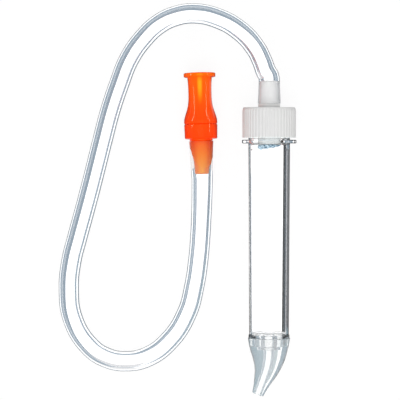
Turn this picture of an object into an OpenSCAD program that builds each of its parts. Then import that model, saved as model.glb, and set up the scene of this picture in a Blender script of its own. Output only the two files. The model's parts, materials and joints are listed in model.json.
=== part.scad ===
// Nasal aspirator worked by mouth suction. A clear barrel with a soft curved nozzle screws into a ribbed
// cap, and a free hose joins the cap to a mouthpiece.
// Millimetres, +Z up. The set lies on a table at z = 0, with the cap's hose stub towards +Y.

/* [Barrel] */
// Outer diameter under the flange and of the neck
barrel_d = 16.4; // [13:0.1:20]
// How much narrower the barrel is at its foot, by the draft of the mould
barrel_draft = 0.8; // [0:0.1:1.2]
// Wall of the barrel and of its neck
barrel_wall = 0.75; // [0.6:0.05:1.8]
// From the underside of the flange to the bottom of the foot
barrel_length = 76.8; // [50:0.1:110]
// Thickness of the floor
floor_thickness = 0.9; // [0.7:0.1:3]
// Radius of the corner between the wall and the floor, inside
floor_fillet = 0.3; // [0.2:0.1:2]
// How far the finger flange stands out past the ribs of the cap
flange_proud = 0.2; // [0.1:0.1:2]
// Thickness of the finger flange
flange_thickness = 1.4; // [1:0.1:2.4]
// How far the bead stands out round the foot
bead_proud = 0.3; // [0.2:0.05:0.5]
// Height of the bead round the foot
bead_height = 1.3; // [1:0.1:3]
// How far the boss that carries the nozzle is set in from the foot
boss_inset = 2.35; // [2:0.05:3]
// Length of the boss below the foot
boss_length = 3.1; // [2.4:0.1:4.4]
// Outer diameter of the spout below the boss
spout_d = 6.4; // [5.4:0.1:7.4]
// Length of the spout below the boss
spout_length = 1.1; // [0.8:0.1:2.4]
// Bore of the spout
inlet_d = 4.4; // [3:0.1:4.8]

/* [Nozzle] */
// How far the rim stands out past the bead of the barrel
nozzle_proud = 0.25; // [0.1:0.05:0.6]
// Length along the nozzle's centre line
nozzle_length = 23.2; // [20:0.1:28]
// Diameter at the tip
tip_d = 4.6; // [4:0.1:6]
// Bore under the spout
nozzle_bore_d = 3; // [2.6:0.1:4]
// Bore at the tip
tip_bore_d = 2.2; // [1.6:0.1:2.4]
// Distance from the rim to the start of the bend
bend_start = 5.5; // [5:0.1:9]
// Radius of the bend
bend_radius = 27; // [20:0.5:36]
// Angle of the bend
bend_angle = 20; // [5:1:28]
// Round of the tip's edge
tip_round = 0.4; // [0.2:0.05:0.6]

/* [Cap] */
// Thickness of the skirt with its ribs
cap_wall = 1.55; // [1.2:0.05:2.6]
// Height of the ribbed skirt with the top
cap_height = 12; // [9:0.1:16]
// Thickness of the top
cap_top = 2; // [1.4:0.1:3]
// Room for the threads between the neck and the skirt
neck_clearance = 0.8; // [0.4:0.1:1.2]
// Number of ribs round the skirt
rib_count = 48; // [24:1:60]
// Height of a rib above the skirt
rib_depth = 0.25; // [0.15:0.05:0.5]
// Plain band over the ribs
rib_stop = 0.6; // [0.5:0.1:2]
// Round of the top edge
cap_round = 0.4; // [0.2:0.1:0.5]
// Gap between the skirt and the flange when the cap is tight
cap_gap = 0.8; // [0.4:0.1:0.9]
// Diameter of the shoulder under the hose
shoulder_d = 8.7; // [7.6:0.1:10]
// Height of the shoulder under the hose
shoulder_height = 1.4; // [0.8:0.1:3]
// Hose stub: diameter at its foot
stub_foot_d = 6.6; // [6:0.1:7.2]
// Hose stub: diameter at its tip
stub_tip_d = 5.5; // [5.1:0.1:5.9]
// Hose stub: length
stub_length = 9.1; // [6:0.1:13]
// Air passage through the stub
stub_bore_d = 3; // [2:0.1:3.6]
// Outer diameter of the sleeve that holds the filter
sleeve_d = 9; // [8:0.1:11]
// Inner diameter of the sleeve that holds the filter
sleeve_bore_d = 6.4; // [5.4:0.1:6.8]
// How far the sleeve reaches below the top face of the flange
sleeve_drop = 1.6; // [0.5:0.1:4]

/* [Seal and filter] */
// Thickness of the ring between the neck and the cap
seal_thickness = 1.2; // [0.8:0.1:2]
// How far the seal ring reaches in past the wall of the neck
seal_lap = 0.4; // [0.1:0.1:1]
// Diameter of the foam below the sleeve, where it swells
foam_d = 9.2; // [7.6:0.1:10.6]
// Height of the foam below the sleeve
foam_head = 2.2; // [1.2:0.1:4]
// Length of the foam inside the sleeve
foam_stem = 6; // [3:0.1:8]

/* [Mouthpiece] */
// Diameter of the bell and of the connector's collar
bell_d = 13.2; // [11.4:0.1:14]
// Diameter of the waist
waist_d = 9.2; // [8.2:0.1:9.7]
// Diameter of the lip
lip_d = 12.6; // [10.6:0.1:13.4]
// Thickness of the lip
lip_thickness = 1.6; // [1:0.1:2.4]
// Diameter just under the lip
lip_neck_d = 9.8; // [9.2:0.1:10.4]
// Length of the bell with its lip
bell_length = 20.3; // [17.5:0.1:26]
// Straight part of the bell at its lower edge
bell_straight = 0.9; // [0.8:0.1:3]
// Height of the waist above the lower edge
waist_height = 12.9; // [10:0.1:15]
// Air passage of the mouthpiece
mouth_bore_d = 5; // [3.6:0.1:5.6]
// Parting groove between the bell and the collar
parting_gap = 0.2; // [0.1:0.05:0.4]
// Height of the collar
collar_height = 5.8; // [4:0.1:8]
// Diameter at the lower end of the collar
collar_foot_d = 12.9; // [11:0.1:13.6]
// Diameter of the plug that holds the bell
plug_d = 8.2; // [7.4:0.1:8.4]
// Length of the plug that holds the bell
plug_length = 4.6; // [3:0.1:5]
// Diameter of the step under the collar
step_d = 9.2; // [7.6:0.1:10]
// Height of the step under the collar
step_height = 0.8; // [0.5:0.1:2]
// Barb: diameter at its foot
barb_foot_d = 7.3; // [6:0.1:7.6]
// Barb: diameter at its tip
barb_tip_d = 5.6; // [5:0.1:6]
// Barb: length
barb_length = 13.2; // [9:0.1:15]
// Air passage through the barb
barb_bore_d = 3.2; // [2:0.1:3.4]

/* [Hose] */
// Outer diameter of the hose
hose_d = 8; // [7.4:0.1:8]
// Inner diameter of the hose
hose_bore_d = 5; // [4.4:0.1:5.4]
// Sides of the hose's section
hose_sides = 12; // [8:2:12]

/* [Fits] */
// Gap of a push fit
fit_gap = 0.06; // [0.04:0.01:0.12]
// Gap between faces that seat on each other
seat_gap = 0.1; // [0.05:0.01:0.2]

/* [Layout on the table] */
// Barrel axis, across the table
barrel_x = 11.5; // [9:0.1:16]
// Top face of the flange, along the table
seat_y = 37.2; // [34:0.1:40]
// Mouthpiece axis at its parting groove, across the table
mouth_x = -15.5; // [-18:0.1:-13]
// Parting groove of the mouthpiece, along the table
mouth_y = 43.5; // [40:0.1:46]
// How far the mouthpiece leans to the left
mouth_lean = 1.5; // [0:0.1:3]

/* [Hidden] */
$fn = 64;

// Diameters that follow from the barrel's own, so that the pieces keep their clearances
barrel_foot_d = barrel_d - barrel_draft;
bead_d = barrel_foot_d + 2 * bead_proud;
boss_d = barrel_foot_d - 2 * boss_inset;
nozzle_d = bead_d + 2 * nozzle_proud;
skirt_bore_d = barrel_d + 2 * neck_clearance;
cap_d = skirt_bore_d + 2 * cap_wall;
flange_d = cap_d + 2 * flange_proud;
seal_bore_d = barrel_d - 2 * barrel_wall - 2 * seal_lap;

// Heights on the barrel's axis, measured from the top face of the flange towards the cap
foot_z = -flange_thickness - barrel_length;
cap_z = cap_gap;
ceiling_z = cap_z + cap_height - cap_top;
seal_z = ceiling_z - seat_gap - seal_thickness;
neck_length = seal_z - seat_gap;
shoulder_z = cap_z + cap_height + shoulder_height;
stub_tip_z = shoulder_z + stub_length;
sleeve_z = -sleeve_drop;
nozzle_z = foot_z - seat_gap;

// The barrel rests on its flange and on the nozzle's rim, so its axis rises a little towards the cap
barrel_tilt = atan((flange_d - nozzle_d) / 2 / (barrel_length + seat_gap));
barrel_axis = [0, cos(barrel_tilt), sin(barrel_tilt)];
seat = [barrel_x, seat_y, flange_d / 2 * cos(barrel_tilt) + flange_thickness * sin(barrel_tilt)];

// Heights on the mouthpiece's axis, measured from the parting groove towards the lip
collar_z = -collar_height;
step_z = collar_z - step_height;
barb_tip_z = step_z - barb_length;
socket_depth = plug_length + seat_gap;
mouth_axis = [-sin(mouth_lean), cos(mouth_lean), 0];
mouth_seat = [mouth_x, mouth_y, max(bell_d, lip_d) / 2];

// Route of the hose. Its ends run straight over the stub and the barb, and the loop between them
// comes down to the table, where its axis lies half a hose above z = 0.
hose_lead = 2;
hose_flare = 5;
lying = hose_d / 2;
hose_start = seat + barrel_axis * (shoulder_z + seat_gap);
stub_tip = seat + barrel_axis * stub_tip_z;
hose_end = mouth_seat + mouth_axis * (step_z - seat_gap);
barb_tip = mouth_seat + mouth_axis * barb_tip_z;
hose_loop = [
    [11.35, 62, 11.6], [10.2, 64.2, 11.6], [8.8, 68, 11.45], [6.1, 73.4, 11], [-0.2, 80.4, 9.5],
    [-9, 85.5, 7.5], [-18, 87.5, 6], [-25, 86.7, 5], [-32, 83.5, 4.5], [-38.5, 77.5, lying],
    [-44, 69.5, lying], [-48, 59.5, lying], [-51.5, 49, lying], [-54.5, 37.5, lying],
    [-58.5, 21.5, lying], [-61.5, 10, lying], [-64.5, -1, lying], [-67, -11, lying],
    [-68, -21.5, lying], [-66.5, -33.5, lying], [-60, -44.5, lying], [-53, -49.3, lying],
    [-45, -50.7, lying], [-36.8, -49, lying], [-28, -42.5, lying], [-21, -31.5, lying],
    [-18, -20.5, lying], [-16.5, -10.5, lying], [-15.5, 2, 4.5]
];
hose_route = concat(
    [hose_start, (hose_start + stub_tip) / 2, stub_tip],
    hose_loop,
    [barb_tip - mouth_axis * hose_lead, barb_tip, (barb_tip + hose_end) / 2, hose_end]
);
hose_steps = 2;

// Points of an arc, from one angle to another
function arc(centre, r, from, to, steps = 6) = [
    for (i = [0:steps])
        let (a = from + (to - from) * i / steps)
            centre + r * [cos(a), sin(a)]
];

// Points of a smooth curve from one [radius, height] pair to another, flat at the first, which it leaves out
function flare(flat, steep, steps = 8) = [
    for (i = [1:steps])
        let (t = i / steps)
            [flat.x + (steep.x - flat.x) * t ^ 2, flat.y + (steep.y - flat.y) * t]
];

// Points of a curve that is flat at both ends and leaves out the first
function ogee(narrow, wide, steps = 12) = [
    for (i = [1:steps])
        let (t = i / steps, out = (1 - cos(180 * t ^ 1.65)) / 2)
            [narrow.x + (wide.x - narrow.x) * out, narrow.y + (wide.y - narrow.y) * t]
];

function reverse(list) = [for (i = [len(list) - 1:-1:0]) list[i]];

// A point on the smooth curve through the points p, between p[i] and p[i + 1]
function curve_point(p, i, t) =
    let (
        last = len(p) - 1,
        a = i > 0 ? p[i - 1] : 2 * p[0] - p[1],
        b = p[i],
        c = p[i + 1],
        d = i + 2 <= last ? p[i + 2] : 2 * p[last] - p[last - 1]
    )
    (2 * b + (c - a) * t + (2 * a - 5 * b + 4 * c - d) * t ^ 2 + (3 * b - a - 3 * c + d) * t ^ 3) / 2;

function curve(p, steps) = [
    for (i = [0:len(p) - 2], k = [0:steps - 1]) curve_point(p, i, k / steps),
    p[len(p) - 1]
];

function unit(v) = v / norm(v);

// Direction of the row of points p at its point i
function heading(p, i) = unit(p[min(i + 1, len(p) - 1)] - p[max(i - 1, 0)]);

// A ring of points round a centre
function ring(centre, side, up, r, sides) = [
    for (k = [0:sides - 1])
        let (a = 360 * k / sides)
            centre + r * (cos(a) * side + sin(a) * up)
];

// Triangles between the ring of points that starts at a and the one that starts at b
function band(a, b, sides) = [
    for (k = [0:sides - 1])
        let (m = (k + 1) % sides)
            each [[a + k, b + k, b + m], [a + k, b + m, a + m]]
];

// Radius of the hose's bore over a tapered stub, at a distance from the stub's foot
function stretched(distance, foot_d, tip_d, length) =
    distance <= length
        ? (foot_d + (tip_d - foot_d) * distance / length) / 2 + fit_gap
        : tip_d / 2 + fit_gap - (tip_d / 2 + fit_gap - hose_bore_d / 2) * min(1, (distance - length) / hose_flare);

function hose_bore_r(point) = max(
    hose_bore_d / 2,
    stretched(norm(point - hose_start), stub_foot_d, stub_tip_d, stub_length),
    stretched(norm(point - hose_end), barb_foot_d, barb_tip_d, barb_length)
);

// The wall keeps its cross section where the bore is stretched
function hose_outer_r(point) = sqrt((hose_d ^ 2 - hose_bore_d ^ 2) / 4 + hose_bore_r(point) ^ 2);

// Centre line of the nozzle: straight, then an arc towards -X, then straight to the tip
bend_length = bend_radius * bend_angle * PI / 180;
function nozzle_turn(s) = bend_angle * max(0, min(1, (s - bend_start) / bend_length));
function nozzle_centre(s) =
    let (a = nozzle_turn(s), tail = max(0, s - bend_start - bend_length))
    [
        -bend_radius * (1 - cos(a)) - tail * sin(a),
        0,
        -min(s, bend_start) - bend_radius * sin(a) - tail * cos(a)
    ];

// Radius of the nozzle: half a straight taper and half a smooth ogee, with a rounded edge at the tip
function nozzle_r(s) =
    let (
        u = s / nozzle_length,
        taper = 1 - u,
        ogee = (1 + cos(180 * u)) / 2,
        over = max(0, s - nozzle_length + tip_round) / tip_round
    )
    tip_d / 2 + (nozzle_d - tip_d) / 2 * (taper + ogee) / 2 - tip_round * (1 - sqrt(1 - over ^ 2));

module on_barrel_axis(z = 0) {
    translate(seat) rotate([barrel_tilt - 90, 0, 0]) translate([0, 0, z]) children();
}

module on_mouth_axis(z = 0) {
    translate(mouth_seat) rotate([0, 0, mouth_lean]) rotate([-90, 0, 0]) translate([0, 0, z]) children();
}

// A bore along the axis, longer than what it goes through by a little at both ends
module bore(d, from, to) {
    over = 0.01;
    translate([0, 0, from - over]) cylinder(d = d, h = to - from + 2 * over);
}

// A tapered stub with a small chamfer at its tip, from z = 0 up
module hose_stub(foot_d, tip_d, length) {
    chamfer = tip_d * 0.07;
    chamfer_r = tip_d / 2 + (foot_d - tip_d) / 2 * chamfer / length;
    rotate_extrude()
        polygon([
            [0, 0], [foot_d / 2, 0], [chamfer_r, length - chamfer], [tip_d / 2 - chamfer, length], [0, length]
        ]);
}

module barrel_outside() {
    rim_round = flange_thickness * 0.4;
    bead_round = (bead_d - barrel_foot_d) / 2;
    rotate_extrude()
        polygon(concat(
            [[0, foot_z - boss_length - spout_length]],
            [[spout_d / 2, foot_z - boss_length - spout_length], [spout_d / 2, foot_z - boss_length]],
            [[boss_d / 2, foot_z - boss_length], [boss_d / 2, foot_z]],
            arc([bead_d / 2 - bead_round, foot_z + bead_round], bead_round, -90, 0),
            arc([bead_d / 2 - bead_round, foot_z + bead_height - bead_round], bead_round, 0, 90),
            [[barrel_d / 2, -flange_thickness]],
            arc([flange_d / 2 - rim_round, -flange_thickness + rim_round], rim_round, -90, 0),
            arc([flange_d / 2 - rim_round, -rim_round], rim_round, 0, 90),
            [[barrel_d / 2, 0], [barrel_d / 2, neck_length], [0, neck_length]]
        ));
}

module barrel_inside() {
    over = 0.01;
    top_r = barrel_d / 2 - barrel_wall;
    foot_r = barrel_foot_d / 2 - barrel_wall;
    rotate_extrude()
        polygon(concat(
            [[0, foot_z + floor_thickness]],
            arc([foot_r - floor_fillet, foot_z + floor_thickness + floor_fillet], floor_fillet, -90, 0),
            [[top_r, -flange_thickness], [top_r, neck_length + over], [0, neck_length + over]]
        ));
}

module barrel() {
    color("aliceblue", 0.5)
        on_barrel_axis()
            difference() {
                barrel_outside();
                barrel_inside();
                bore(inlet_d, foot_z - boss_length - spout_length, foot_z + floor_thickness);
            }
}

// The outer form of the nozzle, a loft of rings along its centre line
module horn() {
    sides = 48;
    steps = 20;
    edge = [0.6, 0.9, 1];
    stations = concat(
        [for (i = [0:steps]) (nozzle_length - tip_round) * i / steps],
        [for (e = edge) nozzle_length - tip_round + tip_round * e]
    );
    last = len(stations) - 1;
    points = [
        for (s = stations)
            let (a = nozzle_turn(s))
                each ring(nozzle_centre(s), [cos(a), 0, -sin(a)], [0, 1, 0], nozzle_r(s), sides)
    ];
    faces = concat(
        [[for (k = [sides - 1:-1:0]) k]],
        [for (i = [0:last - 1]) each band((i + 1) * sides, i * sides, sides)],
        [[for (k = [0:sides - 1]) last * sides + k]]
    );
    polyhedron(points, faces);
}

// Bore of the nozzle: a straight run, a bent run and a straight run to the tip, each a little narrower
module nozzle_bore() {
    lap = 0.1;
    tail = nozzle_length - bend_start - bend_length;
    bore(nozzle_bore_d, -bend_start - lap, -boss_length);
    translate([-bend_radius, 0, -bend_start])
        rotate([-90, 0, 0])
            rotate_extrude(angle = bend_angle)
                translate([bend_radius, 0]) circle(d = (nozzle_bore_d + tip_bore_d) / 2);
    translate(nozzle_centre(bend_start + bend_length))
        rotate([0, bend_angle, 0])
            bore(tip_bore_d, -tail, lap);
}

module nozzle() {
    color("lightsteelblue", 0.7)
        on_barrel_axis(nozzle_z)
            difference() {
                horn();
                bore(boss_d + 2 * fit_gap, -boss_length, 0);
                bore(spout_d + 2 * fit_gap, -boss_length - spout_length, -boss_length);
                nozzle_bore();
            }
}

// Outline of the skirt with its ribs, seen along the axis
module ribbed_outline() {
    rib_r = PI * cap_d / rib_count / 4;
    core_r = cap_d / 2 - rib_depth;
    circle(r = core_r);
    for (k = [0:rib_count - 1])
        rotate(360 * k / rib_count) translate([cap_d / 2 - rib_r, 0]) circle(r = rib_r, $fn = 24);
}

module cap_outside() {
    core_r = cap_d / 2 - rib_depth;
    top_z = cap_z + cap_height;
    translate([0, 0, cap_z]) linear_extrude(cap_height - rib_stop) ribbed_outline();
    rotate_extrude()
        polygon(concat(
            [[0, top_z - rib_stop], [core_r, top_z - rib_stop]],
            arc([core_r - cap_round, top_z - cap_round], cap_round, 0, 90),
            [[shoulder_d / 2, top_z], [shoulder_d / 2, shoulder_z], [0, shoulder_z]]
        ));
    translate([0, 0, shoulder_z]) hose_stub(stub_foot_d, stub_tip_d, stub_length);
}

module cap() {
    color("whitesmoke")
        on_barrel_axis()
            difference() {
                union() {
                    difference() {
                        cap_outside();
                        bore(skirt_bore_d, cap_z, ceiling_z);
                    }
                    translate([0, 0, sleeve_z]) cylinder(d = sleeve_d, h = ceiling_z - sleeve_z + cap_top / 2);
                }
                bore(sleeve_bore_d, sleeve_z, ceiling_z);
                bore(stub_bore_d, ceiling_z, stub_tip_z);
            }
}

module seal_ring() {
    color("gainsboro")
        on_barrel_axis(seal_z)
            difference() {
                cylinder(d = barrel_d, h = seal_thickness);
                bore(seal_bore_d, 0, seal_thickness);
            }
}

// A foam plug: a stem inside the sleeve and a swollen, rounded head below it
module filter() {
    head_z = sleeve_z - seat_gap;
    head_round = foam_head * 0.45;
    stem_r = sleeve_bore_d / 2 - fit_gap;
    color("lightskyblue")
        on_barrel_axis()
            rotate_extrude()
                polygon(concat(
                    [[0, head_z - foam_head]],
                    arc([foam_d / 2 - head_round, head_z - foam_head + head_round], head_round, -90, 0),
                    arc([foam_d / 2 - head_round, head_z - head_round], head_round, 0, 90),
                    [[stem_r, head_z], [stem_r, head_z + foam_stem], [0, head_z + foam_stem]]
                ));
}

module mouthpiece() {
    edge = 0.5;
    under_lip = bell_length - lip_thickness;
    waist = [waist_d / 2, waist_height];
    lip_round = lip_thickness * 0.2;
    color("orangered")
        on_mouth_axis()
            difference() {
                rotate_extrude()
                    polygon(concat(
                        [[0, parting_gap]],
                        arc([bell_d / 2 - edge, parting_gap + edge], edge, -90, 0),
                        reverse(ogee(waist, [bell_d / 2, bell_straight])),
                        [waist],
                        flare(waist, [lip_neck_d / 2, under_lip]),
                        arc([lip_d / 2 - lip_round, under_lip + lip_round], lip_round, -90, 0),
                        arc([lip_d / 2 - lip_round, bell_length - lip_round], lip_round, 0, 90),
                        [[0, bell_length]]
                    ));
                bore(plug_d + 2 * fit_gap, parting_gap, socket_depth);
                bore(mouth_bore_d, socket_depth, bell_length);
            }
}

module hose_connector() {
    edge = 0.5;
    color("tomato")
        on_mouth_axis()
            difference() {
                union() {
                    rotate_extrude()
                        polygon(concat(
                            [[0, step_z], [step_d / 2, step_z], [step_d / 2, collar_z]],
                            arc([collar_foot_d / 2 - edge, collar_z + edge], edge, -90, 0),
                            arc([bell_d / 2 - edge, -edge], edge, 0, 90),
                            [[plug_d / 2, 0], [plug_d / 2, plug_length], [0, plug_length]]
                        ));
                    translate([0, 0, step_z])
                        rotate([180, 0, 0]) hose_stub(barb_foot_d, barb_tip_d, barb_length);
                }
                bore(barb_bore_d, barb_tip_z, plug_length);
            }
}

// The hose, a hollow tube swept along its route
module hose() {
    route = curve(hose_route, hose_steps);
    last = len(route) - 1;
    flat = cos(180 / hose_sides);
    rings = [
        for (i = [0:last])
            let (ahead = heading(route, i), side = unit(cross(ahead, [0, 0, 1])), up = cross(side, ahead))
                each concat(
                    ring(route[i], side, up, hose_outer_r(route[i]), hose_sides),
                    ring(route[i], side, up, hose_bore_r(route[i]) / flat, hose_sides)
                )
    ];
    step = 2 * hose_sides;
    faces = concat(
        band(0, hose_sides, hose_sides),
        [for (i = [0:last - 1]) each band((i + 1) * step, i * step, hose_sides)],
        [for (i = [0:last - 1]) each band(i * step + hose_sides, (i + 1) * step + hose_sides, hose_sides)],
        band(last * step + hose_sides, last * step, hose_sides)
    );
    color("lightblue", 0.6) polyhedron(rings, faces);
}

mouthpiece();
hose_connector();
hose();
cap();
filter();
seal_ring();
barrel();
nozzle();
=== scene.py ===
# %% [markdown]
# # A nasal aspirator worked by mouth suction
# The set lies on a pale table: a clear barrel with a soft curved nozzle, a white ribbed screw cap with a
# foam filter, a clear hose and an orange mouthpiece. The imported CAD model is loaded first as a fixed
# frame. Every piece that is built here goes where that frame has it, in metres, and rides on one of its
# bodies.

import json
import math

import bmesh
import bpy
from mathutils import Matrix, Vector, noise


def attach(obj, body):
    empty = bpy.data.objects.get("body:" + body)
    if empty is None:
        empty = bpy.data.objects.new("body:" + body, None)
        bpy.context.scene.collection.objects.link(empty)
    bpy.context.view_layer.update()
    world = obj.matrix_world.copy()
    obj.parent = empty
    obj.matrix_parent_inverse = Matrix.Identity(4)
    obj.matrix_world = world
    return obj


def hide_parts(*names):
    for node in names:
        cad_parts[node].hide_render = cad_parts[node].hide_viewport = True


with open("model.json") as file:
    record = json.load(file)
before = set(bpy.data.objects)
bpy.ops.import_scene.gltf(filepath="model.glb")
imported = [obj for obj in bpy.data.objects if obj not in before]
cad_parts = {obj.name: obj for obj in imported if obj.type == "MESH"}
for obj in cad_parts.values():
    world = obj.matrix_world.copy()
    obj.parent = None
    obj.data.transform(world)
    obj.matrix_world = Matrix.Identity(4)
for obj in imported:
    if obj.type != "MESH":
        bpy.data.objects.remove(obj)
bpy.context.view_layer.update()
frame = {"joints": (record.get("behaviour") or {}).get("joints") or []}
MM = 0.001

# %% [markdown]
# ## The camera
# The photograph looks straight down, and the tall parts look hardly larger than the flat ones, so it was
# taken from far away with a long lens. A lens of 180 mm at 800 mm above the table frames 160 mm of it.

# %% Camera
view_x, view_y, camera_height = -15.8, 13.45, 800
lens = bpy.data.cameras.new("photo_camera")
lens.lens = 180
lens.sensor_width = 36
camera = bpy.data.objects.new("photo_camera", lens)
camera.location = (view_x * MM, view_y * MM, camera_height * MM)
bpy.context.scene.collection.objects.link(camera)
bpy.context.scene.camera = camera
bpy.context.scene.view_settings.view_transform = "Standard"
print("camera frames", lens.sensor_width / lens.lens * camera_height, "mm of the table")

# %% [markdown]
# ## Two axes
# The barrel, nozzle, cap, seal and filter share one axis, which rises a little towards the cap because
# the barrel rests on its flange. The mouthpiece and its connector share another. Each piece is modelled
# upright, along its own Z, and then moved onto its axis, so its mesh is in place and its object stays at
# the origin.

# %% Places of the two axes
turn = next(joint for joint in frame["joints"] if joint["name"] == "barrel_turn")
pull = next(joint for joint in frame["joints"] if joint["name"] == "mouthpiece_pull")
seat = Vector(turn["pos_m"])
barrel_axis = -Vector(turn["axis"])
mouth_seat = Vector((-15.5, 43.5, 6.6)) * MM
mouth_axis = Vector(pull["axis"])


def along(axis, origin):
    """A place whose Z runs along axis and whose X stays level."""
    side = Vector((axis.y, -axis.x, 0)).normalized()
    place = Matrix((side, axis.cross(side), axis)).transposed().to_4x4()
    return Matrix.Translation(origin) @ place


on_barrel = along(barrel_axis, seat)
on_mouth = along(mouth_axis, mouth_seat)
print("barrel rises by", round(math.degrees(math.asin(barrel_axis.z)), 2), "degrees")

# %% [markdown]
# ## The hose
# A free hose of soft clear PVC, 8 mm across with a 5 mm bore, runs from the cap's stub round to the
# mouthpiece. A curve through points on its centre line gives the smooth lay. The hose is hollow, and its
# looks depend on both of its walls, so the curve is swept twice, once for the outside and once for the
# bore, and the ends are bridged. The stub and the barb stretch the bore, so each point has its own
# radius, and the wall keeps its cross section.

# %% Centre line of the hose
loop = [
    (11.35, 62, 11.6), (10.2, 64.2, 11.6), (8.8, 68, 11.45), (6.1, 73.4, 11), (-0.2, 80.4, 9.5),
    (-9, 85.5, 7.5), (-18, 87.5, 6), (-25, 86.7, 5), (-32, 83.5, 4.5), (-38.5, 77.5, 4), (-44, 69.5, 4),
    (-48, 59.5, 4), (-51.5, 49, 4), (-54.5, 37.5, 4), (-58.5, 21.5, 4), (-61.5, 10, 4), (-64.5, -1, 4),
    (-67, -11, 4), (-68, -21.5, 4), (-66.5, -33.5, 4), (-60, -44.5, 4), (-53, -49.3, 4), (-45, -50.7, 4),
    (-36.8, -49, 4), (-28, -42.5, 4), (-21, -31.5, 4), (-18, -20.5, 4), (-16.5, -10.5, 4), (-15.5, 2, 4.5),
]
stub_foot, stub_tip = 14.3 * MM, 23.3 * MM
barb_foot, barb_tip = -6.7 * MM, -19.8 * MM
lead_in = 2


def evenly(start, end, count):
    """Values from start to end in equal steps, with both ends."""
    return [start + (end - start) * k / count for k in range(count + 1)]


over_stub = [seat + barrel_axis * height for height in evenly(stub_foot, stub_tip, 4)]
over_barb = [mouth_seat + mouth_axis * height for height in evenly(barb_tip, barb_foot, 4)]
route = over_stub + [Vector(point) * MM for point in loop]
route += [over_barb[0] - mouth_axis * lead_in * MM] + over_barb
print("route through", len(route), "points")

# %% Bore and outside of the hose
hose_radius, hose_bore = 4, 2.5
stub_radii, stub_length = (3.3, 2.75), 9
barb_radii, barb_length = (3.7, 2.85), 13.1
ease_out = 6
grip = 0.15


def stretched(distance, at_foot, at_tip, length):
    """Radius of the bore at a distance from the foot of what it is pushed on, in mm."""
    if distance < length:
        return at_foot + (at_tip - at_foot) * distance / length
    return at_tip + (hose_bore - at_tip) * min(1, (distance - length) / ease_out)


def bore_radius(point, press=grip):
    """The soft wall grips the stub, so it presses in past the stub's surface. It lies round the barb."""
    over_the_stub = stretched((point - over_stub[0]).length / MM, *stub_radii, stub_length) - press
    over_the_barb = stretched((point - over_barb[-1]).length / MM, *barb_radii, barb_length)
    return max(hose_bore, over_the_stub, over_the_barb) * MM


def wall_radius(point):
    """The outside, from the bore and a wall that keeps its cross section."""
    return math.sqrt((hose_radius * MM) ** 2 - (hose_bore * MM) ** 2 + bore_radius(point, press=0) ** 2)


# %% Sweep the hose


def swept(name, radius):
    """A mesh tube along the route, with a radius for each of its points, and its centre line."""
    data = bpy.data.curves.new(name, "CURVE")
    data.dimensions = "3D"
    data.bevel_depth = 1
    data.bevel_resolution = 18
    data.resolution_u = 12
    data.twist_mode = "MINIMUM"
    line = data.splines.new("BEZIER")
    line.radius_interpolation = "EASE"
    line.bezier_points.add(len(route) - 1)
    for knot, point in zip(line.bezier_points, route):
        knot.co = point
        knot.radius = radius(point)
        knot.handle_left_type = knot.handle_right_type = "AUTO"
    sweep = bpy.data.objects.new(name, data)
    bpy.context.scene.collection.objects.link(sweep)
    bpy.context.view_layer.update()
    mesh = bpy.data.meshes.new_from_object(sweep.evaluated_get(bpy.context.evaluated_depsgraph_get()))
    data.bevel_depth = 0
    bpy.context.view_layer.update()
    thread = bpy.data.meshes.new_from_object(sweep.evaluated_get(bpy.context.evaluated_depsgraph_get()))
    middle = [vertex.co.copy() for vertex in thread.vertices]
    bpy.data.objects.remove(sweep)
    return mesh, middle


outside, centre_line = swept("hose_outside", wall_radius)
inside, _ = swept("hose_bore", bore_radius)
distances = [0.0]
for a, b in zip(centre_line, centre_line[1:]):
    distances.append(distances[-1] + (b - a).length)

# %% [markdown]
# ## Making a piece
# Each bmesh becomes one object. Its faces are shaded smooth, with sharp edges where the surface really
# turns, and it rides on its body.

# %% From bmesh to piece


def make_piece(bm, name, body, slot, *nodes, sharp=32):
    """Turns a bmesh into a piece that rides on a body and stands for CAD nodes."""
    mesh = bpy.data.meshes.new(name)
    bm.to_mesh(mesh)
    bm.free()
    mesh.shade_smooth()
    mesh.set_sharp_from_angle(angle=math.radians(sharp))
    piece = bpy.data.objects.new(name, mesh)
    bpy.context.scene.collection.objects.link(piece)
    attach(piece, body)
    if nodes:
        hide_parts(*nodes)
    print(name, len(mesh.polygons), "faces on", body)
    return piece


# %% [markdown]
# ## The hose on the barb
# The bore presses on the barb from its foot, furthest along its top and its right side, and then leaves
# it with air between. Where it presses, light goes straight through, and the barb looks as wide as the
# hose.

# %% Press the bore on the barb
near_barb, barb_middle = 14, 3.5
pressed_length, more_on_right, more_on_top = 5.75, 2.25, 6
press_fade = 2


def share(value):
    """Holds a value between 0 and 1."""
    return max(0, min(1, value))


def press_on_barb(bm):
    """Moves the bore's wall in by the grip, as far along the barb as it presses on that side."""
    for vertex in bm.verts:
        away = over_barb[-1] - vertex.co
        reach = away.dot(mouth_axis) / MM
        if away.length < near_barb * MM:
            pressed = pressed_length - (more_on_right * away.x + more_on_top * away.z) / (barb_middle * MM)
            press = share((pressed - reach) / press_fade)
            vertex.co += (away - mouth_axis * reach * MM).normalized() * grip * press * MM


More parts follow.
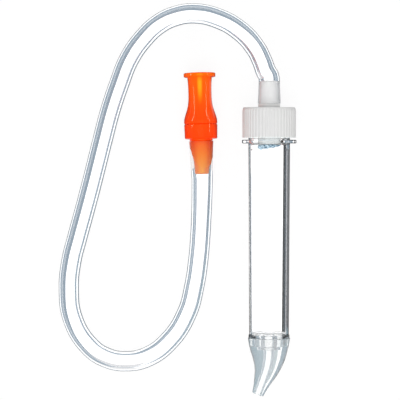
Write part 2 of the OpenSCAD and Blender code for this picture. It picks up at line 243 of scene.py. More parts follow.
# %% Hose
near_end = 6
bm = bmesh.new()
bm.from_mesh(inside)
press_on_barb(bm)
bmesh.ops.reverse_faces(bm, faces=bm.faces[:])
bm.from_mesh(outside)
lay = bm.verts.layers.float_vector.new("hose_lay")
ring_size = len(outside.vertices) // len(centre_line)
for number, vertex in enumerate(bm.verts):
    ring, place = divmod(number % len(outside.vertices), ring_size)
    angle = 2 * math.pi * place / ring_size
    vertex[lay] = (math.cos(angle), math.sin(angle), distances[ring])
for end in (centre_line[0], centre_line[-1]):
    open_edges = [edge for edge in bm.edges if edge.is_boundary]
    rim = [edge for edge in open_edges if (edge.verts[0].co - end).length < near_end * MM]
    bmesh.ops.bridge_loops(bm, edges=rim)
bmesh.ops.recalc_face_normals(bm, faces=bm.faces[:])
hose = make_piece(bm, "hose_tube", "cap", "clear_pvc", "hose")

# %% [markdown]
# ## Turned pieces
# Most of the set is round: barrel, cap, seal, filter, mouthpiece and connector. Each starts as one closed
# outline of radius and height, in millimetres. A third number rounds that corner. The outline is a face
# only while its corners are bevelled. Then its edges are spun a full turn.

# %% Spin an outline
corner_segments = 6
slice_over = 0.4
weld_distance = 0.002


def turned(outline, steps=128, slices=0):
    """A bmesh ring from a closed outline of (radius, height, corner round) in mm."""
    bm = bmesh.new()
    corners = [bm.verts.new((corner[0] * MM, 0, corner[1] * MM)) for corner in outline]
    bm.faces.new(corners)
    rounds = {}
    for vertex, corner in zip(corners, outline):
        if len(corner) > 2:
            rounds.setdefault(corner[2], []).append(vertex)
    for size, sharp_corners in rounds.items():
        bmesh.ops.bevel(
            bm, geom=sharp_corners, offset=size * MM, offset_type="OFFSET", affect="VERTICES",
            segments=corner_segments, profile=0.5, material=-1,
        )
    bmesh.ops.delete(bm, geom=bm.faces[:], context="FACES_ONLY")
    if slices:
        long_edges = [edge for edge in bm.edges if edge.calc_length() > slice_over * MM]
        bmesh.ops.subdivide_edges(bm, edges=long_edges, cuts=slices)
    bmesh.ops.spin(
        bm, geom=bm.verts[:] + bm.edges[:], cent=(0, 0, 0), axis=(0, 0, 1), angle=2 * math.pi, steps=steps,
        use_merge=True,
    )
    bmesh.ops.remove_doubles(bm, verts=bm.verts[:], dist=weld_distance * MM)
    bmesh.ops.recalc_face_normals(bm, faces=bm.faces[:])
    return bm


# %% [markdown]
# ## The screw thread
# Neck and cap have a coarse right-handed thread of one start, 3.2 mm a turn. A ridge could be spun along
# a helix and laid on the wall, but clear plastic would show the wall running on inside it. So the wall
# itself is cut into fine rows, and its vertices move out, on the neck, or in, on the cap, where the helix
# passes.

# %% Thread
pitch, row = 3.2, 0.16
thread_depth, thread_fade = 0.5, 1.2
ridge_half, ridge_flank = 0.24, 0.1
on_wall = 0.01


def rows(radius, low, high):
    """Outline corners up a wall, close enough to carry a thread."""
    return [(radius, height) for height in evenly(low, high, round((high - low) / row))]


def cut_thread(bm, radius, depth, low, high, phase):
    """Moves a wall's vertices out by depth, in mm, along a helix that fades in and out at its ends."""
    moved = 0
    for vertex in bm.verts:
        height = vertex.co.z / MM
        wall = math.hypot(vertex.co.x, vertex.co.y) / MM
        if abs(wall - radius) < on_wall and low <= height <= high:
            turns = math.atan2(vertex.co.y, vertex.co.x) / (2 * math.pi)
            beside = abs((height / pitch - turns + phase) % 1 - 0.5)
            ridge = share((ridge_half - beside) / ridge_flank)
            fade = share(min(height - low, high - height) / thread_fade)
            out = 1 + depth * ridge * fade / wall
            vertex.co.x *= out
            vertex.co.y *= out
            moved += ridge > 0
    print("thread moved", moved, "vertices")


# %% [markdown]
# ## The barrel
# The collecting barrel is moulded in clear plastic. It has a neck for the screw cap, a finger flange, a
# long wall that narrows by the mould's draft, a bead round its foot, and a floor with a boss and spout
# for the nozzle. Clear plastic shows all of its surfaces, so the outline goes round the inside as well.

# %% Barrel
foot, flange_low, neck_top = -78.2, -1.4, 9.4
outlet, spout, boss, bead = 2.2, 3.2, 5.45, 8.1
barrel_radius, barrel_bore, flange = 8.2, 7.45, 10.75
foot_wall, foot_bore = 7.81, 7.05
bead_top, wall_low = foot + 1.05, foot + 1.3
spout_end, boss_end, floor_top = foot - 4.2, foot - 3.1, foot + 0.9
neck_thread = (2.0, 8.8)
barrel_outline = [
    (outlet, spout_end, 0.2), (spout, spout_end, 0.3), (spout, boss_end, 0.2), (boss, boss_end, 0.3),
    (boss, foot, 0.25), (bead, foot, 0.35), (bead, bead_top, 0.3), (foot_wall, wall_low, 0.15),
    (barrel_radius, flange_low, 0.15), (flange, flange_low, 0.38), (flange, 0, 0.38),
    (barrel_radius, 0, 0.12),
]
barrel_outline += rows(barrel_radius, *neck_thread)
barrel_outline += [(barrel_radius, neck_top, 0.3), (barrel_bore, neck_top, 0.2), (barrel_bore, flange_low)]
barrel_outline += [(foot_bore, floor_top, 0.3), (outlet, floor_top, 0.15)]
bm = turned(barrel_outline, steps=160)
cut_thread(bm, barrel_radius, thread_depth, *neck_thread, phase=0.0)
bmesh.ops.transform(bm, matrix=on_barrel, verts=bm.verts[:])
barrel = make_piece(bm, "barrel_wall", "barrel", "clear_plastic", "barrel")

# %% [markdown]
# ## The nozzle
# The soft nozzle is pushed on the boss. It narrows from the barrel's width to a tip that suits a nostril,
# and bends to one side. A ring of vertices is extruded step by step down the outside, round the tip and
# back up through the bore and the socket. Each step only moves, turns and scales the newest ring.

# %% Nozzle centre line and radius
nozzle_length, bend_start, bend_radius, bend_angle = 23.2, 5.5, 27, math.radians(20)
bend_length = bend_radius * bend_angle
tip_radius, tip_round, horn_growth = 2.3, 0.4, 6.05


def nozzle_place(s, radius):
    """Where the ring of that radius sits, s mm down the nozzle."""
    angle = bend_angle * share((s - bend_start) / bend_length)
    tail = max(0, s - bend_start - bend_length)
    across = -bend_radius * (1 - math.cos(angle)) - tail * math.sin(angle)
    down = -min(s, bend_start) - bend_radius * math.sin(angle) - tail * math.cos(angle)
    place = Matrix.Translation(Vector((across, 0, down)) * MM) @ Matrix.Rotation(angle, 4, "Y")
    return place @ Matrix.Scale(radius * MM, 4)


def horn_radius(s):
    """Half a straight taper and half a smooth ogee."""
    u = s / nozzle_length
    return tip_radius + horn_growth * ((1 - u) + (1 + math.cos(math.pi * u)) / 2) / 2


# %% Rings of the nozzle
ring_step, horn_rings = 0.25, 91
nozzle_bore, bore_growth, bore_low, bore_high = 1.1, 0.4, 22, 5
rings = [(0.0, 8.15), (0.12, 8.3)]
rings += [(k * ring_step, horn_radius(k * ring_step)) for k in range(1, horn_rings + 1)]
for angle in (0.4, 0.8, 1.2, 1.571):
    inset = tip_round * (1 - math.cos(angle))
    rings.append((nozzle_length - tip_round * (1 - math.sin(angle)), tip_radius - inset))
rings += [(nozzle_length, nozzle_bore + 0.2), (nozzle_length - 0.2, nozzle_bore)]
for s in (20, 18, 16, 14, 12, 10, 8, 6, bore_high):
    rings.append((s, nozzle_bore + bore_growth * (bore_low - s) / (bore_low - bore_high)))
spout_socket = [(4.25, 1.5), (4.2, 1.6), (4.2, 3.2), (4.15, 3.26), (3.15, 3.26)]
boss_socket = [(3.1, 3.35), (3.1, 5.45), (3.05, 5.51), (0.2, 5.51), (0.0, 5.75)]
rings += spout_socket + boss_socket
print("nozzle of", len(rings), "rings")

# %% Nozzle
nozzle_gap = 0.1
bm = bmesh.new()
bmesh.ops.create_circle(bm, cap_ends=False, segments=96, radius=1)
edge_loop = bm.edges[:]
placed = Matrix()
for step, (s, radius) in enumerate(rings):
    if step:
        grown = bmesh.ops.extrude_edge_only(bm, edges=edge_loop)["geom"]
        edge_loop = [item for item in grown if isinstance(item, bmesh.types.BMEdge)]
    newest = list({vertex for edge in edge_loop for vertex in edge.verts})
    place = nozzle_place(s, radius)
    bmesh.ops.transform(bm, matrix=place @ placed.inverted(), verts=newest)
    placed = place
bmesh.ops.bridge_loops(bm, edges=[edge for edge in bm.edges if edge.is_boundary])
bmesh.ops.recalc_face_normals(bm, faces=bm.faces[:])
under_foot = Matrix.Translation((0, 0, (foot - nozzle_gap) * MM))
bmesh.ops.transform(bm, matrix=on_barrel @ under_foot, verts=bm.verts[:])
nozzle = make_piece(bm, "nozzle_horn", "nozzle", "clear_silicone", "nozzle")

# %% [markdown]
# ## The cap
# The white cap has a ribbed skirt, a flat top with a crisp edge, a shoulder and stub for the hose, and
# inside a sleeve that holds the filter. It is turned like the barrel, with ten steps to each rib, and
# then every vertex of the skirt moves out by the height of the rib that it lies on.

# %% Cap outline
rib_count, rib_height, rib_steps, rib_half, rib_fade = 48, 0.25, 10, 0.32, 0.5
skirt_low, rib_top, cap_top, ceiling = 0.8, 12.2, 12.8, 10.8
core, cap_bore, shoulder, air_hole = 10.3, 9.0, 4.35, 1.5
sleeve_bore, sleeve, sleeve_low = 3.2, 4.5, -1.6
cap_thread = (1.4, 9.6)
cap_outline = [
    (cap_bore, skirt_low, 0.25), (core, skirt_low), (core, 11.6), (core, 11.9), (core, 12.1),
    (core, rib_top), (core, cap_top, 0.4), (shoulder, cap_top, 0.25), (shoulder, 14.2, 0.3),
    (3.3, 14.2, 0.1), (2.78, 22.9, 0.2), (2.36, 23.3, 0.15), (air_hole, 23.3, 0.15), (air_hole, ceiling),
    (sleeve_bore, ceiling), (sleeve_bore, sleeve_low, 0.25), (sleeve, sleeve_low, 0.25), (sleeve, ceiling),
    (cap_bore, ceiling, 0.3),
]
cap_outline += rows(cap_bore, *cap_thread)[::-1]
print("cap outline of", len(cap_outline), "corners")

# %% Cap
bm = turned(cap_outline, steps=rib_count * rib_steps)
cut_thread(bm, cap_bore, -thread_depth, *cap_thread, phase=0.5)
for vertex in bm.verts:
    radius = math.hypot(vertex.co.x, vertex.co.y) / MM
    height = vertex.co.z / MM
    if radius > core - on_wall and height < rib_top:
        beside = (math.atan2(vertex.co.y, vertex.co.x) / (2 * math.pi) * rib_count + 0.5) % 1 - 0.5
        crest = max(0, 1 - (beside / rib_half) ** 2) ** 0.5
        run_out = min(1, (rib_top - height) / rib_fade) ** 0.5
        out = 1 + crest * run_out * rib_height / radius
        vertex.co.x *= out
        vertex.co.y *= out
bmesh.ops.transform(bm, matrix=on_barrel, verts=bm.verts[:])
cap = make_piece(bm, "ribbed_cap", "cap", "white_plastic", "cap")

# %% [markdown]
# ## The seal ring and the filter
# A soft ring sits between the neck's rim and the cap. The filter is a plug of open-cell foam, pushed into
# the sleeve, that swells where it comes out. The plug is turned with many slices, and then a cell pattern
# presses pores into it. Its lower end was cut by hand, so it is longer on one side.

# %% Seal ring
seal_in, seal_out, seal_low, seal_high, seal_round = 7.05, 8.2, 9.5, 10.7, 0.2
bm = turned([
    (seal_in, seal_low, seal_round), (seal_out, seal_low, seal_round),
    (seal_out, seal_high, seal_round), (seal_in, seal_high, seal_round),
])
bmesh.ops.transform(bm, matrix=on_barrel, verts=bm.verts[:])
seal = make_piece(bm, "seal_washer", "seal_ring", "seal_rubber", "seal_ring")

# %% Filter
plug_low, plug_mouth, plug_top = -3.8, -1.75, 4.3
plug_radius, swollen = 3.1, 4.4
lump, lumps_per_mm = 0.45, 2.2
pore, pores_per_mm, pore_edge = 0.9, 1.6, 0.5
slant, tear, tears_per_mm = 0.075, 0.25, 0.8
cut_least, cut_most, cut_fade = 0.1, 0.85, 0.8
hidden_roughness = 0.05
foam_outline = [
    (0, plug_low), (swollen, plug_low, 0.8), (swollen, plug_mouth, 0.6), (plug_radius, plug_mouth, 0.2),
    (plug_radius, plug_top, 0.3), (0, plug_top),
]
bm = turned(foam_outline, steps=200, slices=20)
bm.normal_update()
for vertex in bm.verts:
    spot = vertex.co / MM
    low_end = share((plug_mouth - spot.z) / cut_fade)
    cells, _ = noise.voronoi(spot * pores_per_mm)
    rough = lump * noise.noise(spot * lumps_per_mm) - pore * max(0, pore_edge - cells[0])
    short = 0.5 + slant * spot.x + tear * noise.noise(spot * tears_per_mm)
    keep = 1 - max(cut_least, min(cut_most, short))
    if low_end > 0:
        vertex.co.z = (plug_mouth - (plug_mouth - spot.z) * keep) * MM
    vertex.co += vertex.normal * rough * min(1, low_end + hidden_roughness) * MM
bmesh.ops.transform(bm, matrix=on_barrel, verts=bm.verts[:])
foam = make_piece(bm, "foam_plug", "filter", "blue_foam", "filter", sharp=80)

# %% [markdown]
# ## The mouthpiece and its connector
# Both are moulded in translucent orange plastic. The bell sweeps in to a waist and out again to a lip.
# The connector has a collar of the same width, a plug that holds the bell, and a tapered barb under the
# hose.

# %% Mouthpiece
waist, lip_neck, bell_wide = (4.6, 12.9), (4.9, 18.7), (6.6, 0.9)
lip, lip_top, mouth_bore = 6.3, 20.3, 2.5
plug_hole, plug_depth = 4.16, 4.7
bell_fullness = 1.65


def bell_side(t):
    """A point of the bell's side, from the waist at 0 to its wide end at 1."""
    out = (1 - math.cos(math.pi * t**bell_fullness)) / 2
    return (waist[0] + (bell_wide[0] - waist[0]) * out, waist[1] + (bell_wide[1] - waist[1]) * t)


def neck_side(t):
    """A point between the waist and the lip."""
    return (waist[0] + (lip_neck[0] - waist[0]) * t**2, waist[1] + (lip_neck[1] - waist[1]) * t)


bell_outline = [(plug_hole, 0.06, 0.05), (6.3, 0.06), (6.55, 0.3, 0.1)]
bell_outline += [bell_side(t) for t in evenly(1, 0, 24)]
bell_outline += [neck_side(t) for t in evenly(0, 1, 10)[1:]]
bell_outline += [(lip, lip_neck[1], 0.3), (lip, lip_top, 0.32), (mouth_bore, lip_top, 0.5)]
bell_outline += [(mouth_bore, plug_depth), (plug_hole, plug_depth)]
bm = turned(bell_outline)
bmesh.ops.transform(bm, matrix=on_mouth, verts=bm.verts[:])
bell = make_piece(bm, "mouth_bell", "mouthpiece", "orange_plastic", "mouthpiece")

# %% Connector
plug, plug_end, passage = 4.1, 4.6, 1.6
collar_low, ring_low, barb_end = -5.8, -6.6, -19.8
collar_outline = [
    (plug, 0), (6.3, 0), (6.58, -0.25, 0.1), (6.45, collar_low, 0.4), (4.6, collar_low, 0.2),
    (4.6, ring_low, 0.3), (3.65, ring_low, 0.1), (2.83, -19.4, 0.3), (2.41, barb_end, 0.2),
    (passage, barb_end, 0.1), (passage, plug_end, 0.1), (plug, plug_end, 0.3),
]
bm = turned(collar_outline)
bmesh.ops.transform(bm, matrix=on_mouth, verts=bm.verts[:])
collar = make_piece(bm, "hose_collar", "mouthpiece", "orange_plastic", "hose_connector")

# %% [markdown]
# ## Shared marks of moulding
# Two effects come back in most of the finishes, so each is a node group. Moulded skin is the slow change
# of tone and the fine grain of a moulded part. Flow marks are the faint streaks that a melt leaves in
# clear plastic. A group puts out only what changes over the surface, and what is the same everywhere is
# set on the shader.

# %% Node helpers
MIX_A, MIX_B, MIX_RESULT = 6, 7, 2


def add(tree, kind, inputs=None, **settings):
    """Adds a shader node and sets its settings and its plain inputs."""
    node = tree.nodes.new("ShaderNode" + kind)
    for name, value in settings.items():
        setattr(node, name, value)
    for name, value in (inputs or {}).items():
        node.inputs[name].default_value = value
    return node


def new_group(name, inputs, outputs):
    """A node group with named sockets, and its two end nodes."""
    group = bpy.data.node_groups.new(name, "ShaderNodeTree")
    for socket, kind in inputs.items():
        group.interface.new_socket(socket, in_out="INPUT", socket_type="NodeSocket" + kind)
    for socket, kind in outputs.items():
        group.interface.new_socket(socket, in_out="OUTPUT", socket_type="NodeSocket" + kind)
    return group, group.nodes.new("NodeGroupInput"), group.nodes.new("NodeGroupOutput")


def place_group(tree, group, inputs):
    """Places a node group in a material with its own values."""
    node = tree.nodes.new("ShaderNodeGroup")
    node.node_tree = group
    for name, value in inputs.items():
        node.inputs[name].default_value = value
    return node


def ramp(tree, *stops):
    """A colour ramp from (position, (red, green, blue)) stops."""
    node = tree.nodes.new("ShaderNodeValToRGB")
    elements = node.color_ramp.elements
    while len(elements) < len(stops):
        elements.new(0.5)
    for element, (position, colour) in zip(elements, stops):
        element.position = position
        element.color = (*colour, 1)
    return node


def along_y(tree, low, high):
    """A value that goes from 0 to 1 between two places on the piece's Y, in mm."""
    split = add(tree, "SeparateXYZ")
    spread = add(tree, "MapRange", {"From Min": low * MM, "From Max": high * MM})
    tree.links.new(add(tree, "TexCoord").outputs["Object"], split.inputs["Vector"])
    tree.links.new(split.outputs["Y"], spread.inputs["Value"])
    return spread.outputs["Result"]


def multiplied(tree, first, second):
    """One colour times another."""
    node = add(tree, "Mix", {"Factor": 1.0}, data_type="RGBA", blend_type="MULTIPLY")
    tree.links.new(first, node.inputs[MIX_A])
    tree.links.new(second, node.inputs[MIX_B])
    return node.outputs[MIX_RESULT]


# %% Moulded skin
skin, start, end = new_group(
    "moulded_skin",
    {"Vector": "Vector", "Colour": "Color", "Shade": "Color", "Cloud Scale": "Float",
     "Grain Scale": "Float", "Smoothest": "Float", "Roughest": "Float"},
    {"Colour": "Color", "Roughness": "Float", "Height": "Float"},
)
clouds = add(skin, "TexNoise", {"Detail": 3, "Roughness": 0.55})
tone = add(skin, "Mix", data_type="RGBA")
grain = add(skin, "TexNoise", {"Detail": 2, "Roughness": 0.6})
polish = add(skin, "MapRange")
for node, scale in ((clouds, "Cloud Scale"), (grain, "Grain Scale")):
    skin.links.new(start.outputs["Vector"], node.inputs["Vector"])
    skin.links.new(start.outputs[scale], node.inputs["Scale"])
skin.links.new(clouds.outputs["Fac"], tone.inputs["Factor"])
skin.links.new(start.outputs["Colour"], tone.inputs[MIX_A])
skin.links.new(start.outputs["Shade"], tone.inputs[MIX_B])
skin.links.new(grain.outputs["Fac"], polish.inputs["Value"])
skin.links.new(start.outputs["Smoothest"], polish.inputs["To Min"])
skin.links.new(start.outputs["Roughest"], polish.inputs["To Max"])
skin.links.new(tone.outputs[MIX_RESULT], end.inputs["Colour"])
skin.links.new(polish.outputs["Result"], end.inputs["Roughness"])
skin.links.new(grain.outputs["Fac"], end.inputs["Height"])
print("group", skin.name, "with", len(skin.nodes), "nodes")

# %% Flow marks
flow, start, end = new_group(
    "flow_marks",
    {"Vector": "Vector", "Scale": "Float", "Smoothest": "Float", "Roughest": "Float"},
    {"Roughness": "Float", "Height": "Float"},
)
streaks = add(flow, "TexNoise", {"Detail": 2, "Roughness": 0.5})
polish = add(flow, "MapRange", {"From Min": 0.3, "From Max": 0.8})
flow.links.new(start.outputs["Vector"], streaks.inputs["Vector"])
flow.links.new(start.outputs["Scale"], streaks.inputs["Scale"])
flow.links.new(streaks.outputs["Fac"], polish.inputs["Value"])
flow.links.new(start.outputs["Smoothest"], polish.inputs["To Min"])
flow.links.new(start.outputs["Roughest"], polish.inputs["To Max"])
flow.links.new(polish.outputs["Result"], end.inputs["Roughness"])
flow.links.new(streaks.outputs["Fac"], end.inputs["Height"])
print("group", flow.name, "with", len(flow.nodes), "nodes")

# %% [markdown]
# ## Clear finishes
# Barrel and hose are clear: full transmission with each plastic's own index of refraction. The nozzle's
# silicone is a little milky. Layer Weight paints shade into their colour towards the edges, which draws
# dark outlines, except in the barrel's floor. Lamps shine through to the foam, because their shadow rays
# meet a Transparent shader.

# %% Clear plastic


def clear_finish(name, index, clearness, tint_and_edge_shade, pattern, stretch, scale, roughest, bump):
    """Clear plastic with flow marks that follow the piece's own coordinates or an attribute."""
    finish = bpy.data.materials.new(name)
    finish.use_nodes = True
    tree = finish.node_tree
    shader = tree.nodes["Principled BSDF"]
    shader.inputs["IOR"].default_value = index
    shader.inputs["Transmission Weight"].default_value = clearness
    if pattern == "Object":
        source = add(tree, "TexCoord").outputs["Object"]
    else:
        source = add(tree, "Attribute", attribute_name=pattern).outputs["Vector"]
    mapping = add(tree, "Mapping", {"Scale": stretch})
    marks = place_group(tree, flow, {"Scale": scale, "Smoothest": 0.0, "Roughest": roughest})
    ripple = add(tree, "Bump", {"Strength": 1.0, "Distance": bump * MM})
    # Painted shade: Layer Weight darkens the colour towards the edges, which draws dark outlines.
    facing = add(tree, "LayerWeight", {"Blend": 0.5})
    edge_colour_and_shade = ramp(tree, *tint_and_edge_shade)
    path = add(tree, "LightPath")
    clear = add(tree, "BsdfTransparent", {"Color": (0.985, 0.99, 0.995, 1)})
    lamp_light = add(tree, "MixShader")
    tree.links.new(source, mapping.inputs["Vector"])
    tree.links.new(mapping.outputs["Vector"], marks.inputs["Vector"])
    tree.links.new(marks.outputs["Roughness"], shader.inputs["Roughness"])
    tree.links.new(marks.outputs["Height"], ripple.inputs["Height"])
    tree.links.new(ripple.outputs["Normal"], shader.inputs["Normal"])
    tree.links.new(facing.outputs["Facing"], edge_colour_and_shade.inputs["Fac"])
    tree.links.new(edge_colour_and_shade.outputs["Color"], shader.inputs["Base Color"])
    tree.links.new(path.outputs["Is Shadow Ray"], lamp_light.inputs["Fac"])
    tree.links.new(shader.outputs["BSDF"], lamp_light.inputs[1])
    tree.links.new(clear.outputs["BSDF"], lamp_light.inputs[2])
    tree.links.new(lamp_light.outputs["Shader"], tree.nodes["Material Output"].inputs["Surface"])
    print("finish", name, "bends light by", index)
    return finish


# %% Clear barrel
# Painted shade: the barrel's edges are darkened strongly, and a switch along Y leaves its floor without it.
floor_shade_off, wall_shade_on = -39.6, -39.3
barrel_edge_shade = [(0, (1, 1, 1)), (0.68, (1, 1, 1)), (0.78, (0.3, 0.3, 0.31)), (1, (0.2, 0.2, 0.21))]
finish = clear_finish(
    "clear_plastic", index=1.5, clearness=1.0, tint_and_edge_shade=barrel_edge_shade, pattern="Object",
    stretch=(1, 0.08, 1), scale=300, roughest=0.012, bump=0.0008)
tree = finish.node_tree
edge_shaded_colour = tree.nodes["Principled BSDF"].inputs["Base Color"]
floor_shade_switch = add(tree, "Mix", {MIX_A: (1, 1, 1, 1)}, data_type="RGBA")
tree.links.new(along_y(tree, floor_shade_off, wall_shade_on), floor_shade_switch.inputs["Factor"])
tree.links.new(edge_shaded_colour.links[0].from_socket, floor_shade_switch.inputs[MIX_B])
tree.links.new(floor_shade_switch.outputs[MIX_RESULT], edge_shaded_colour)
barrel.data.materials.append(finish)

# %% Clear hose and nozzle
# The hose and nozzle keep a faint tint of their own, and painted shade darkens their edges.
hose_tint_and_edge_shade = [(0, (1, 1, 1)), (0.12, (0.99, 0.99, 1)), (0.6, (0.93, 0.95, 0.97)), (1, (0.4, 0.44, 0.48))]
nozzle_tint_and_edge_shade = [(0, (0.92, 0.925, 0.925)), (0.3, (0.91, 0.94, 0.945)), (1, (0.86, 0.9, 0.91))]
hose.data.materials.append(clear_finish(
    "clear_pvc", index=1.53, clearness=1.0, tint_and_edge_shade=hose_tint_and_edge_shade, pattern="hose_lay", stretch=(1, 1, 60),
    scale=1.6, roughest=0.02, bump=0.003))
nozzle.data.materials.append(clear_finish(
    "clear_silicone", index=1.41, clearness=0.86, tint_and_edge_shade=nozzle_tint_and_edge_shade, pattern="Object",
    stretch=(1, 0.3, 1), scale=260, roughest=0.18, bump=0.02))

# %% [markdown]
# ## Moulded finishes
# The cap is white polypropylene, a little dull. Its skirt is painted greyer, as shade, and its thin stub
# and sleeve are painted lighter, as the light that comes through them.
# The seal is soft rubber. The orange of the mouthpiece is translucent and deepens to nearly red in the
# thick collar. A painted glow makes its thin walls lighter and yellower, as the light that comes through
# them.
# The foam's cells are painted dark, as shade in its holes, in pale blue.

# %% Moulded plastic


def moulded_finish(name, colours, roughness, cloud_scale=250.0, grain_scale=3000.0, bump=0.01):
    """Plastic with the moulded skin, and the parts of it that a finish goes on from."""
    finish = bpy.data.materials.new(name)
    finish.use_nodes = True
    tree = finish.node_tree
    shader = tree.nodes["Principled BSDF"]
    surface = place_group(tree, skin, {
        "Colour": (*colours[0], 1), "Shade": (*colours[1], 1), "Cloud Scale": cloud_scale,
        "Grain Scale": grain_scale, "Smoothest": roughness[0], "Roughest": roughness[1]})
    grain_bump = add(tree, "Bump", {"Strength": 1.0, "Distance": bump * MM})
    tree.links.new(add(tree, "TexCoord").outputs["Object"], surface.inputs["Vector"])
    tree.links.new(surface.outputs["Colour"], shader.inputs["Base Color"])
    tree.links.new(surface.outputs["Roughness"], shader.inputs["Roughness"])
    tree.links.new(surface.outputs["Height"], grain_bump.inputs["Height"])
    tree.links.new(grain_bump.outputs["Normal"], shader.inputs["Normal"])
    print("finish", name)
    return finish, tree, shader, surface


# %% White cap and pale seal
cap_low, cap_high = 30, 60
finish, tree, shader, surface = moulded_finish(
    "white_plastic", ((0.89, 0.89, 0.885), (0.84, 0.84, 0.835)), (0.34, 0.5))
# Painted light and shade along the cap's height: the skirt darker, the sleeve and stub lighter, and the
# sleeve a little blue, as light through thin walls and from the foam.
painted_light_and_shade_ramp = ramp(
    tree, (0.26, (0.95, 1.0, 1.0)), (0.275, (0.8, 0.8, 0.8)), (0.68, (0.8, 0.8, 0.8)),
    (0.69, (0.96, 0.96, 0.96)))
tree.links.new(along_y(tree, cap_low, cap_high), painted_light_and_shade_ramp.inputs["Fac"])
shaded = multiplied(tree, surface.outputs["Colour"], painted_light_and_shade_ramp.outputs["Color"])
tree.links.new(shaded, shader.inputs["Base Color"])
cap.data.materials.append(finish)
finish, _, _, _ = moulded_finish(
    "seal_rubber", ((0.72, 0.72, 0.7), (0.64, 0.64, 0.63)), (0.5, 0.7), bump=0.02)
seal.data.materials.append(finish)

# %% Orange mouthpiece
barb_low, lip_high = 23.5, 63.5
orange, tree, shader, surface = moulded_finish(
    "orange_plastic", ((1.0, 1.0, 1.0), (0.95, 0.95, 0.95)), (0.05, 0.09), bump=0.002)
shader.inputs["Transmission Weight"].default_value = 0.05
shader.inputs["IOR"].default_value = 1.49
shader.inputs["Specular Tint"].default_value = (1.0, 0.65, 0.42, 1)
# The orange deepens where the way through the plastic is long, at the sides and in the collar.
thick = ramp(
    tree, (0.0, (0.95, 0.3, 0.1)), (0.2, (1.0, 0.17, 0.02)), (0.31, (1.0, 0.085, 0.0)),
    (0.36, (1.0, 0.045, 0.0)), (0.55, (1.0, 0.055, 0.0)), (0.95, (1.0, 0.1, 0.0)), (1.0, (0.98, 0.12, 0.0)))
# Painted glow: a lighter, yellower orange, for the light that comes through the thin walls and the bore.
painted_glow_colours = ramp(
    tree, (0.0, (1.0, 0.44, 0.1)), (0.2, (1.0, 0.27, 0.03)), (0.3, (1.0, 0.18, 0.015)),
    (0.36, (1.0, 0.05, 0.0)), (0.6, (1.0, 0.06, 0.0)), (0.7, (1.0, 0.1, 0.0)), (0.76, (1.0, 0.17, 0.0)),
    (0.85, (1.0, 0.33, 0.005)), (0.92, (1.0, 0.33, 0.005)), (0.96, (1.0, 0.2, 0.0)))
# The painted glow's mask: Layer Weight picks the middle of each piece as seen, wide on the barb and narrow
# above it.
facing = add(tree, "LayerWeight", {"Blend": 0.5})
glow_mask_width = add(tree, "MapRange", {"From Min": 0.3, "From Max": 0.36, "To Min": 0.17, "To Max": 0.03})
middle = add(tree, "MapRange", {"From Min": 0.0, "To Min": 1.0, "To Max": 0.0})
painted_glow_mix = add(tree, "Mix", data_type="RGBA")
height = along_y(tree, barb_low, lip_high)
for socket in (thick.inputs["Fac"], painted_glow_colours.inputs["Fac"], glow_mask_width.inputs["Value"]):
    tree.links.new(height, socket)
tree.links.new(glow_mask_width.outputs["Result"], middle.inputs["From Max"])
tree.links.new(facing.outputs["Facing"], middle.inputs["Value"])
tree.links.new(middle.outputs["Result"], painted_glow_mix.inputs["Factor"])
tree.links.new(thick.outputs["Color"], painted_glow_mix.inputs[MIX_A])
tree.links.new(painted_glow_colours.outputs["Color"], painted_glow_mix.inputs[MIX_B])
orange_with_painted_glow = multiplied(tree, surface.outputs["Colour"], painted_glow_mix.outputs[MIX_RESULT])
tree.links.new(orange_with_painted_glow, shader.inputs["Base Color"])
bell.data.materials.append(orange)
collar.data.materials.append(orange)

# %% Blue foam
finish, tree, shader, surface = moulded_finish(
    "blue_foam", ((0.95, 1.0, 1.0), (0.3, 0.62, 0.85)), (0.85, 1.0), cloud_scale=1100, bump=0.05)
# Painted shade in the pores: a cell pattern darkens the colour to deep blue in small spots, as shade in the
# holes.
pores = add(tree, "TexVoronoi", {"Scale": 1200.0})
painted_pore_shade = ramp(tree, (0.0, (0.04, 0.12, 0.18)), (0.4, (0.1, 0.25, 0.35)), (0.5, (1, 1, 1)))
tree.links.new(add(tree, "TexCoord").outputs["Object"], pores.inputs["Vector"])
tree.links.new(pores.outputs["Distance"], painted_pore_shade.inputs["Fac"])
pore_shaded_colour = multiplied(tree, surface.outputs["Colour"], painted_pore_shade.outputs["Color"])
tree.links.new(pore_shaded_colour, shader.inputs["Base Color"])
foam.data.materials.append(finish)

# %% [markdown]
# ## The table and the light
# Clear plastic is photographed against a lit white panel with a darker surround: the middle of a tube
# shows the panel, and its edges bend the view past the panel. So the table is white for the camera, and
# what looks through clear plastic sees a light panel far below, with a blue surround, and cards that draw
# the dark edges of the barrel, the flange and the nozzle. The nozzle's cards show in solid plastic alone,
# so the hollow barrel doesn't see them. Two pale cards lighten the hose's edges over the stub and the
# barb.

# %% Stage helpers


def sheet(name, corners, height):
    """A flat face on the stage, from (x, y) corners in mm."""
    bm = bmesh.new()
    bm.faces.new([bm.verts.new((x * MM, y * MM, height * MM)) for x, y in corners])
    mesh = bpy.data.meshes.new(name)
    bm.to_mesh(mesh)
    bm.free()
    stage_piece = bpy.data.objects.new(name, mesh)
    bpy.context.scene.collection.objects.link(stage_piece)
    return stage_piece


def rectangle(left, right, near, far):
    """Four corners, in mm."""
    return ((left, near), (right, near), (right, far), (left, far))


def stage_finish(name):
    """An empty material for the stage."""
    finish = bpy.data.materials.new(name)
    finish.use_nodes = True
    finish.node_tree.nodes.clear()
    return finish, finish.node_tree


def mixed(tree, factor, first, second):
    """The first shader where factor is 0, and the second where it is 1."""
    node = add(tree, "MixShader")
    tree.links.new(factor, node.inputs[0])
    tree.links.new(first, node.inputs[1])
    tree.links.new(second, node.inputs[2])
    return node.outputs[0]


